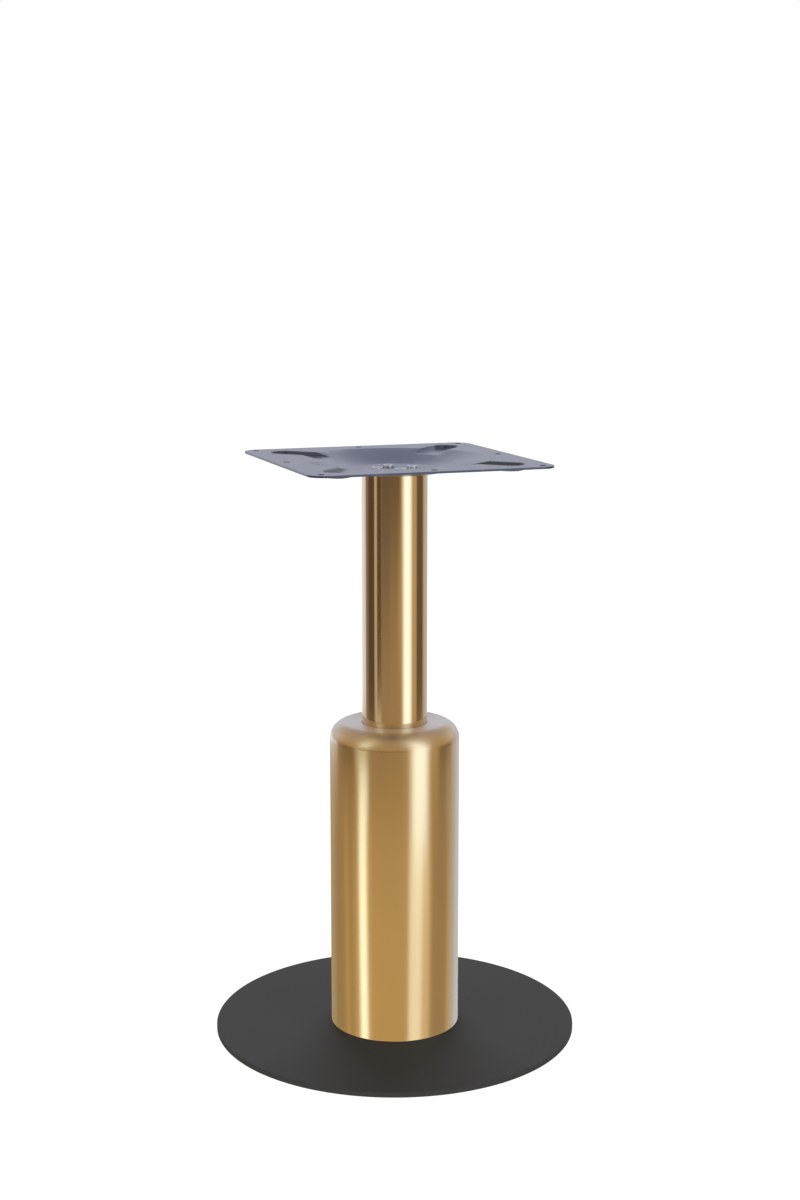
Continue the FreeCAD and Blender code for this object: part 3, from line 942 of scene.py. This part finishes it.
@dataclass
class SocketScrew:
    """A screw with a hexagon socket and a cut thread, its head's seat at height zero.

    The socket's depth is a share of the head's depth, the socket's flat floor a share of
    its width, and the thread's depth a share of the pitch.
    """

    kind: HeadKind
    thread: float
    head: float
    socket: float
    pitch: float
    head_height: float = 0.0
    segments: int = 48
    bevel: float = 0.6 * MM
    chamfer: float = 0.3 * MM
    under_edge: float = 0.15 * MM
    rim_edge: float = 0.1 * MM
    socket_depth: float = 0.6
    socket_floor: float = 0.2
    thread_depth: float = 0.5
    rings_per_pitch: int = 6
    sharp_degrees: float = 30.0

    def _circle(self, radius: float, height: float) -> list[Vector]:
        """A round ring of points."""
        return [about_axis(radius, angle, height) for angle in turns(self.segments)]

    def _hexagon(self, width: float, height: float) -> list[Vector]:
        """Make a ring of points on a hexagon.

        Args:
            width: the hexagon's width across its flats.
            height: the ring's height.

        Returns:
            The points.
        """
        ring = []
        for angle in turns(self.segments):
            off_flat = (angle + FLAT_ANGLE / 2) % FLAT_ANGLE - FLAT_ANGLE / 2
            ring.append(about_axis(width / 2 / math.cos(off_flat), angle, height))
        return ring

    def _thread_rings(self, top: float, bottom: float) -> list[list[Vector]]:
        """Make the rings down the shank, whose radius follows a helix.

        Args:
            top: height of the first ring.
            bottom: height of the last ring.

        Returns:
            The rings, from the top down.
        """
        count = max(2, round((top - bottom) / self.pitch * self.rings_per_pitch))
        depth = self.thread_depth * self.pitch
        rings = []
        for step in range(count + 1):
            height = top + (bottom - top) * step / count
            fade = max(0.0, min(1.0, (top - height) / self.pitch, (height - bottom) / self.pitch))
            ring = []
            for angle in turns(self.segments):
                phase = (height / self.pitch + angle / math.tau) % 1.0
                radius = self.thread / 2 - abs(2 * phase - 1) * depth * fade
                ring.append(about_axis(radius, angle, height))
            rings.append(ring)
        return rings

    def _socket_rings(self, face: float, depth: float) -> list[list[Vector]]:
        """Make the rings from the middle of the socket's floor up to its chamfered mouth.

        Args:
            face: height of the head's face.
            depth: depth of the socket.

        Returns:
            The rings, from the inside out.
        """
        corner = self.socket / 2 / math.cos(FLAT_ANGLE / 2)
        return [
            self._hexagon(self.socket_floor * self.socket, face - depth),
            self._hexagon(self.socket, face - depth),
            self._hexagon(self.socket, face - self.chamfer),
            self._circle(corner + self.chamfer, face),
        ]

    def _head_rings(self) -> list[list[Vector]]:
        """Make the rings from the middle of the socket out over the head to the shank.

        Returns:
            The rings, from the inside out.
        """
        wide = self.head / 2
        if self.kind is HeadKind.FLAT:
            top = self.head_height
            edge = [
                self._circle(wide - aside * self.bevel, top - down * self.bevel)
                for aside, down in ROUNDED_EDGE
            ]
            return self._socket_rings(top, self.socket_depth * top) + edge + [
                self._circle(wide, self.under_edge),
                self._circle(wide - self.under_edge, 0),
                self._circle(self.thread / 2, 0),
            ]
        cone = (self.head - self.thread) / 2
        return self._socket_rings(0, self.socket_depth * cone) + [
            self._circle(wide - 2 * self.rim_edge, 0),
            self._circle(wide - self.rim_edge, -self.rim_edge),
            self._circle(self.thread / 2, -cone),
        ]

    def mesh(self, name: str, seat: float, tip: float) -> bpy.types.Mesh:
        """Build the screw on the upright axis.

        Args:
            name: name of the mesh.
            seat: height of a flat head's seat, or of a countersunk head's face.
            tip: height of the screw's tip; above the seat, the screw points up.

        Returns:
            The mesh.
        """
        head = self._head_rings()
        shank = self._thread_rings(head[-1][0].z, -abs(seat - tip))
        mesh = mesh_from_rings(name, head + shank, self.sharp_degrees, loop=False)
        if tip > seat:
            mesh.transform(Euler((math.pi, 0, 0)).to_matrix().to_4x4())
        for vertex in mesh.vertices:
            vertex.co.z += seat
        return mesh


@dataclass
class ScrewSet:
    """Equal screws on a circle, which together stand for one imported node.

    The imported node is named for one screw, with an s at its end.
    """

    name: str
    count: int
    seed: int
    screw: SocketScrew

    def build(
        self, circle: float, seat: float, tip: float, finishes: Finishes, copies: CircleOfCopies
    ) -> bpy.types.Object:
        """Make the screws, each turned about its own axis by chance.

        Args:
            circle: radius of the circle.
            seat: height of a flat head's seat, or of a countersunk head's face.
            tip: height of the screws' tips.
            finishes: the materials.
            copies: the tree that repeats a piece.

        Returns:
            The finished piece.
        """
        mesh = self.screw.mesh(self.name, seat, tip)
        screws = copies.repeat(
            self.name + "_set", mesh, circle, self.count, finishes[Slot.ZINC], FLAT_ANGLE, self.seed
        )
        settle(screws, [self.name + "s"])
        return screws


def column_radius() -> float:
    """Outside radius of the column tube."""
    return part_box("column_tube")[1].x


@dataclass
class FloorStand:
    """Round base plate, its rubber pads and the screws from below."""

    pad_count: int = 6
    pad_segments: int = 96
    pad_bevel: float = 0.5 * MM
    groove: float = 0.3 * MM
    groove_places: tuple[float, ...] = (0.35, 0.6, 0.85)
    screws: ScrewSet = field(
        default_factory=lambda: ScrewSet(
            "base_screw",
            count=4,
            seed=3,
            screw=SocketScrew(
                HeadKind.COUNTERSUNK, thread=7.9 * MM, head=16 * MM, socket=5 * MM, pitch=1.25 * MM
            ),
        )
    )

    def pad_mesh(self) -> bpy.types.Mesh:
        """Turn one pad, with a bevelled edge and ring grooves underneath.

        Returns:
            The mesh.
        """
        low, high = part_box("floor_pad_1")
        radius = (high.x - low.x) / 2
        profile = [(AXIS_GAP, low.z)]
        for share in self.groove_places:
            reach = radius * share
            profile += [
                (reach - 2 * self.groove, low.z),
                (reach - self.groove, low.z + self.groove),
                (reach + self.groove, low.z + self.groove),
                (reach + 2 * self.groove, low.z),
            ]
        profile += arc((radius - self.pad_bevel, low.z + self.pad_bevel), self.pad_bevel, -90, 0, steps=4)
        profile += [(radius, high.z), (AXIS_GAP, high.z)]
        return lathe("floor_pad", profile, self.pad_segments)

    def build(self, finishes: Finishes, copies: CircleOfCopies) -> None:
        """Dress the base plate, make the pads and screws, and keep all from mirror images.

        Args:
            finishes: the materials.
            copies: the tree that repeats a piece.
        """
        dress_node("base_disc", finishes[Slot.POWDER_COAT])
        low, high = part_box("floor_pad_1")
        pads = copies.repeat(
            "floor_pads", self.pad_mesh(), (low.x + high.x) / 2, self.pad_count, finishes[Slot.RUBBER]
        )
        settle(pads, [f"floor_pad_{index + 1}" for index in range(self.pad_count)])
        low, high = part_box("base_screws")
        circle = high.x - self.screws.screw.head / 2
        screws = self.screws.build(circle, low.z, high.z, finishes, copies)
        for piece in (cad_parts["base_disc"], pads, screws):
            piece.visible_glossy = False


@dataclass
class Column:
    """Column tube with its flange and head."""

    wall: float = 2 * MM
    edge: float = 0.3 * MM
    segments: int = 192

    def build(self, finishes: Finishes) -> None:
        """Turn the tube and dress the steel pieces that close it.

        Args:
            finishes: the materials.
        """
        low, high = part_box("column_tube")
        outer = column_radius()
        inner = outer - self.wall
        profile = [
            (outer - self.edge, low.z),
            (outer, low.z + self.edge),
            (outer, high.z - self.edge),
            (outer - self.edge, high.z),
            (inner, high.z),
            (inner, low.z),
        ]
        tube = new_object("column", lathe("column", profile, self.segments))
        tube.data.materials.append(finishes[Slot.COLUMN_BRASS])
        settle(tube, ["column_tube"])
        dress_node("foot_flange", finishes[Slot.TURNED_STEEL])
        dress_node("column_head", finishes[Slot.TURNED_STEEL])


@dataclass
class Sleeve:
    """Drawn sleeve with its centring ring."""

    wall: float = 1.5 * MM
    shoulder: float = 20 * MM
    gap: float = 0.3 * MM
    bend: float = 0.7 * MM
    collar: float = 10 * MM
    foot_edge: float = 0.4 * MM
    segments: int = 256
    screws: ScrewSet = field(
        default_factory=lambda: ScrewSet(
            "ring_screw",
            count=3,
            seed=5,
            screw=SocketScrew(
                HeadKind.COUNTERSUNK,
                thread=3.9 * MM,
                head=8 * MM,
                socket=2.5 * MM,
                pitch=0.7 * MM,
                segments=36,
            ),
        )
    )

    def profile(self) -> Profile:
        """Half section of the sheet, from the foot over the shoulder to the collar and back.

        Returns:
            The section's points.
        """
        low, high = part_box("sleeve")
        outer = (high.x - low.x) / 2
        top = high.z
        bore = column_radius() + self.gap
        back = bore + self.wall
        foot = (outer - self.foot_edge, low.z + self.foot_edge)
        shoulder = (outer - self.shoulder, top - self.shoulder)
        points = arc(foot, self.foot_edge, -90, 0, steps=3)
        points += arc(shoulder, self.shoulder, 0, 90, steps=24)
        points += arc((bore + self.bend, top - self.bend), self.bend, 90, 180, steps=6)
        points += [(bore, top - self.collar), (back, top - self.collar), (back, top - self.wall)]
        points += arc(shoulder, self.shoulder - self.wall, 90, 0, steps=16)
        points += [(outer - self.wall, low.z)]
        return points

    def build(self, finishes: Finishes, copies: CircleOfCopies) -> None:
        """Make the sleeve, dress its ring and make the ring's screws.

        Args:
            finishes: the materials.
            copies: the tree that repeats a piece.
        """
        shell = new_object("sleeve_shell", lathe("sleeve_shell", self.profile(), self.segments))
        shell.data.materials.append(finishes[Slot.SLEEVE_BRASS])
        settle(shell, ["sleeve"])
        dress_node("sleeve_ring", finishes[Slot.NYLON])
        low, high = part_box("ring_screws")
        circle = high.x - self.screws.screw.head / 2
        self.screws.build(circle, high.z, low.z, finishes, copies)


@dataclass
class FixingPlate:
    """Pressed square plate, its screws and their washers."""

    merge_distance: float = 1e-6
    sharp_degrees: float = 32.0
    washer: float = 16 * MM
    washer_bore: float = 9 * MM
    washer_edge: float = 0.3 * MM
    washer_segments: int = 64
    screws: ScrewSet = field(
        default_factory=lambda: ScrewSet(
            "top_screw",
            count=4,
            seed=8,
            screw=SocketScrew(
                HeadKind.FLAT,
                thread=7.9 * MM,
                head=14 * MM,
                socket=5 * MM,
                pitch=1.25 * MM,
                head_height=2.4 * MM,
            ),
        )
    )

    def smooth_plate(self, finish: bpy.types.Material) -> bpy.types.Object:
        """Make a merged and smoothed copy of the pressed sheet.

        Args:
            finish: the plate's material.

        Returns:
            The new piece.
        """
        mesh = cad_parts["top_plate"].data.copy()
        mesh.name = "pressed_plate"
        body = bmesh.new()
        body.from_mesh(mesh)
        bmesh.ops.remove_doubles(body, verts=body.verts, dist=self.merge_distance)
        body.to_mesh(mesh)
        body.free()
        shade_smooth(mesh, self.sharp_degrees)
        mesh.materials.clear()
        mesh.materials.append(finish)
        return new_object("pressed_plate", mesh)

    def washer_mesh(self) -> bpy.types.Mesh:
        """Turn one washer, with softened edges.

        Returns:
            The mesh.
        """
        low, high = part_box("top_washers")
        outer, inner, edge = self.washer / 2, self.washer_bore / 2, self.washer_edge
        profile = arc((outer - edge, low.z + edge), edge, -90, 0, steps=3)
        profile += arc((outer - edge, high.z - edge), edge, 0, 90, steps=3)
        profile += [(inner + edge / 2, high.z), (inner, high.z - edge / 2), (inner, low.z)]
        return lathe("washer", profile, self.washer_segments)

    def build(self, finishes: Finishes, copies: CircleOfCopies) -> None:
        """Dress the plate and make its screws and washers.

        Args:
            finishes: the materials.
            copies: the tree that repeats a piece.
        """
        plate = self.smooth_plate(finishes[Slot.PLATE_PAINT])
        settle(plate, ["top_plate"])
        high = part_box("top_washers")[1]
        circle = high.x - self.washer / 2
        washers = copies.repeat(
            "washer_set", self.washer_mesh(), circle, self.screws.count, finishes[Slot.ZINC]
        )
        settle(washers, ["top_washers"])
        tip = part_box("top_screws")[0].z
        self.screws.build(circle, high.z, tip, finishes, copies)


@dataclass(frozen=True)
class Panel:
    """A stretch of the room's wall that metal reflects.

    The bearing is in degrees from the camera's direction, to the camera's right or, for
    both sides, either way, and the rise in degrees above the horizon. Its sides fade by
    soft degrees either way, and its top and bottom by edge, or its bottom by low_edge.
    """

    start: float
    end: float
    soft: float
    colour: Colour
    low: float = -ALL_UP
    high: float = ALL_UP
    edge: float = 1.0
    low_edge: Optional[float] = None
    both_sides: bool = False


@dataclass(frozen=True)
class Lamp:
    """A soft square lamp aimed at the middle of the object.

    The azimuth is in degrees from the camera's direction, to the camera's right; the
    distance from the axis, the height and the side in metres; the power in watts.
    """

    name: str
    azimuth: float
    distance: float
    height: float
    side: float
    power: float


@dataclass
class Studio:
    """Camera, floor, lamps and the room that the metal reflects."""

    photo_height: float = 1200.0
    focal_pixels: float = 1916.95
    sensor: float = 36.0
    clip_end: float = 50.0
    turn: float = 19.65
    aim: float = 0.167
    pitch: float = 10.445
    distance: float = 2.3013
    height: float = 0.9702
    floor_reach: float = 8.0
    floor_colour: Colour = (0.9, 0.9, 0.9)
    floor_glow: float = 1.12
    floor_glow_share: float = 0.9
    white: Colour = (1.0, 1.0, 1.0)
    even_light: float = 0.4
    lamp_target: tuple[float, float, float] = (0, 0, 0.35)
    lamps: tuple[Lamp, ...] = (
        Lamp("back_softbox", azimuth=180, distance=1.3, height=2.0, side=1.2, power=40),
        Lamp("right_softbox", azimuth=50, distance=2.2, height=1.6, side=1.2, power=9),
        Lamp("left_softbox", azimuth=-60, distance=2.2, height=1.6, side=1.2, power=7),
        Lamp("low_front_softbox", azimuth=0, distance=2.0, height=0.25, side=0.3, power=18),
    )
    wall: Colour = (0.41, 0.31, 0.165)
    panels: tuple[Panel, ...] = (
        # Low on the wall, where the sleeve looks
        Panel(-ALL_ROUND, ALL_ROUND, 1, (0.63, 0.49, 0.24), high=-19, edge=4),
        Panel(-130, -82, 9, (0.46, 0.35, 0.18), high=-14),
        Panel(-103, -93, 4, (0.62, 0.47, 0.24), high=-18, edge=2),
        Panel(72, 112, 6, (0.42, 0.33, 0.19), high=-14),
        # Just under the horizon, where the column looks
        Panel(-118, -46, 4, (0.12, 0.085, 0.05), **COLUMN_RISES),
        Panel(-120, -104, 5, (0.26, 0.22, 0.23), **COLUMN_RISES),
        Panel(-75, -64, 2.5, (0.6, 0.55, 0.48), **COLUMN_RISES),
        Panel(-46, -16, 5, (0.3, 0.24, 0.17), **COLUMN_RISES),
        Panel(12, 36, 8, (0.62, 0.5, 0.3), **COLUMN_RISES),
        Panel(-46, 24, 7, (0.44, 0.335, 0.2), low=-14.5, high=-12, edge=2, low_edge=0.7),
        Panel(-46, 22, 7, (0.155, 0.125, 0.09), low=-8.9, high=-1, edge=3),
        Panel(58, 83, 6, (0.6, 0.47, 0.3), **COLUMN_RISES),
        Panel(85, 117, 5, (0.16, 0.12, 0.08), **COLUMN_RISES),
        # Above the horizon and behind the object
        Panel(-ALL_ROUND, ALL_ROUND, 1, (0.8, 0.69, 0.47), low=6, high=60, edge=6),
        Panel(122, ALL_ROUND, 7, (0.57, 0.56, 0.54), both_sides=True),
        Panel(122, ALL_ROUND, 7, (0.57, 0.59, 0.65), low=-2, high=14, edge=3, both_sides=True),
        # Behind on either side, where the edges of the brass look
        Panel(-ALL_ROUND, -113, 9, (0.41, 0.3, 0.15), high=-14),
        Panel(104, 124, 6, (0.54, 0.49, 0.38), low=-18.5, high=-14.5, edge=1.5),
        Panel(-ALL_ROUND, -122, 7, (0.9, 0.93, 1.0), low=-14, high=-4),
        # Higher up, where the plate's flats and dish and the sleeve's shoulder look
        Panel(122, ALL_ROUND, 7, (0.88, 0.92, 1.03), low=11, high=30, edge=3, both_sides=True),
        Panel(122, ALL_ROUND, 7, (0.42, 0.43, 0.5), low=26, edge=4, both_sides=True),
        Panel(-ALL_ROUND, ALL_ROUND, 1, (0.62, 0.6, 0.56), low=60, edge=10),
        Panel(-110, 110, 12, (0.5, 0.4, 0.24), low=8, high=78, edge=8),
        # The bright streaks to the right and to the left
        Panel(31, 61, 9, (1.5, 1.8, 2.05), high=72, edge=16),
        Panel(28, 50, 6, (1.15, 1.2, 1.05), high=-21.5, edge=1.5),
        Panel(50, 66, 6, (0.8, 0.68, 0.42), high=-21, edge=1.5),
        Panel(-66, -48, 5, (1.8, 2.05, 1.95), low=-18.5, high=-14.6, edge=0.6),
        Panel(-68, -53, 5, (1.75, 1.98, 1.85), high=-18, edge=1.5),
        Panel(-67, -47, 8, (1.4, 1.62, 1.6), low=12, high=68, edge=16),
    )

    def camera(self) -> None:
        """Stand the camera where the photograph was taken from."""
        data = bpy.data.cameras.new("camera")
        data.sensor_fit = "AUTO"
        data.sensor_width = self.sensor
        data.lens = self.focal_pixels / self.photo_height * self.sensor
        data.clip_end = self.clip_end
        camera = bpy.data.objects.new("camera", data)
        turn = math.radians(self.turn)
        camera.location = (-self.distance * math.sin(turn), -self.distance * math.cos(turn), self.height)
        camera.rotation_euler = (math.radians(90 - self.pitch), 0, -math.radians(self.turn + self.aim))
        bpy.context.scene.collection.objects.link(camera)
        bpy.context.scene.camera = camera

    def floor(self) -> None:
        """Lay a pale floor that shows white and keeps a faint shadow."""
        mesh = bpy.data.meshes.new("floor")
        reach = self.floor_reach
        corners = [(-reach, -reach, 0), (reach, -reach, 0), (reach, reach, 0), (-reach, reach, 0)]
        mesh.from_pydata(corners, [], [(0, 1, 2, 3)])
        floor = new_object("floor", mesh)
        material, tree = empty_material("pale_floor")
        matt = tree.add("ShaderNodeBsdfDiffuse", Color=self.floor_colour)
        glow = tree.add("ShaderNodeEmission", Color=self.white, Strength=self.floor_glow)
        path = tree.add("ShaderNodeLightPath")
        share = tree.math("MULTIPLY", path.outputs["Is Camera Ray"], self.floor_glow_share)
        mixed = tree.blend(share, matt.outputs["BSDF"], glow.outputs["Emission"])
        tree.add("ShaderNodeOutputMaterial", Surface=mixed)
        mesh.materials.append(material)
        floor.visible_glossy = False

    def hang(self, lamp: Lamp) -> None:
        """Hang a lamp and keep it out of mirror images.

        Args:
            lamp: the lamp.
        """
        data = bpy.data.lights.new(lamp.name, "AREA")
        data.size = lamp.side
        data.energy = lamp.power
        piece = bpy.data.objects.new(lamp.name, data)
        around = math.radians(-90 - self.turn + lamp.azimuth)
        piece.location = about_axis(lamp.distance, around, lamp.height)
        aim = Vector(self.lamp_target) - Vector(piece.location)
        piece.rotation_euler = aim.to_track_quat("-Z", "Y").to_euler()
        piece.visible_glossy = False
        bpy.context.scene.collection.objects.link(piece)

    @staticmethod
    def _mask(tree: ShaderTree, bearing: Value, rise: Value, panel: Panel) -> bpy.types.NodeSocket:
        """Find where a panel shows.

        Args:
            tree: the room's builder.
            bearing: bearing of the direction that is seen, in degrees.
            rise: its rise, in degrees.
            panel: the panel.

        Returns:
            A factor that is 1 on the panel and 0 off it, with soft edges.
        """
        low_edge = panel.edge if panel.low_edge is None else panel.low_edge
        masks = []
        for value, start, end, first, last in (
            (bearing, panel.start, panel.end, panel.soft, panel.soft),
            (rise, panel.low, panel.high, low_edge, panel.edge),
        ):
            on = tree.ramp(value, start - first, start + first)
            off = tree.ramp(value, end - last, end + last)
            masks.append(tree.math("SUBTRACT", on, off))
        return tree.math("MULTIPLY", *masks)

    @staticmethod
    def _along(
        tree: ShaderTree, direction: Value, axis: tuple[float, float, float]
    ) -> bpy.types.NodeSocket:
        """Part of a direction along an axis."""
        return tree.vector_math("DOT_PRODUCT", direction, axis).outputs["Value"]

    def room(self) -> None:
        """Make the room: white for the camera, even light for matt surfaces, panels for metal."""
        world = bpy.data.worlds.new("room")
        bpy.context.scene.world = world
        world.use_nodes = True
        world.node_tree.nodes.clear()
        tree = ShaderTree(world.node_tree)
        direction = tree.add("ShaderNodeTexCoord").outputs["Generated"]
        turn = math.radians(self.turn)
        towards = self._along(tree, direction, (-math.sin(turn), -math.cos(turn), 0))
        rightwards = self._along(tree, direction, (math.cos(turn), -math.sin(turn), 0))
        upwards = self._along(tree, direction, (0, 0, 1))
        bearing = tree.math("MULTIPLY", tree.math("ARCTAN2", rightwards, towards), math.degrees(1))
        rise = tree.math("MULTIPLY", tree.math("ARCSINE", upwards), math.degrees(1))
        either_way = tree.math("ABSOLUTE", bearing)
        colour: Value = self.wall
        for panel in self.panels:
            around = either_way if panel.both_sides else bearing
            colour = tree.mix(self._mask(tree, around, rise, panel), colour, panel.colour)
        reflected = tree.add("ShaderNodeBackground", Color=colour)
        even = tree.add("ShaderNodeBackground", Color=self.white, Strength=self.even_light)
        white = tree.add("ShaderNodeBackground", Color=self.white)
        path = tree.add("ShaderNodeLightPath").outputs
        light, image = even.outputs["Background"], reflected.outputs["Background"]
        lit = tree.blend(path["Is Glossy Ray"], light, image)
        seen = tree.blend(path["Is Camera Ray"], lit, white.outputs["Background"])
        tree.add("ShaderNodeOutputWorld", Surface=seen)

    def build(self) -> None:
        """Set up everything around the object."""
        bpy.context.scene.view_settings.view_transform = "Standard"
        self.camera()
        self.floor()
        for lamp in self.lamps:
            self.hang(lamp)
        self.room()


def main() -> None:
    """Build the pieces in order and set up the studio."""
    logging.basicConfig(level=logging.INFO, format="%(name)s %(message)s")
    finishes = Finishes()
    copies = CircleOfCopies()
    FloorStand().build(finishes, copies)
    Column().build(finishes)
    Sleeve().build(finishes, copies)
    FixingPlate().build(finishes, copies)
    Studio().build()


if __name__ == "__main__":
    main()
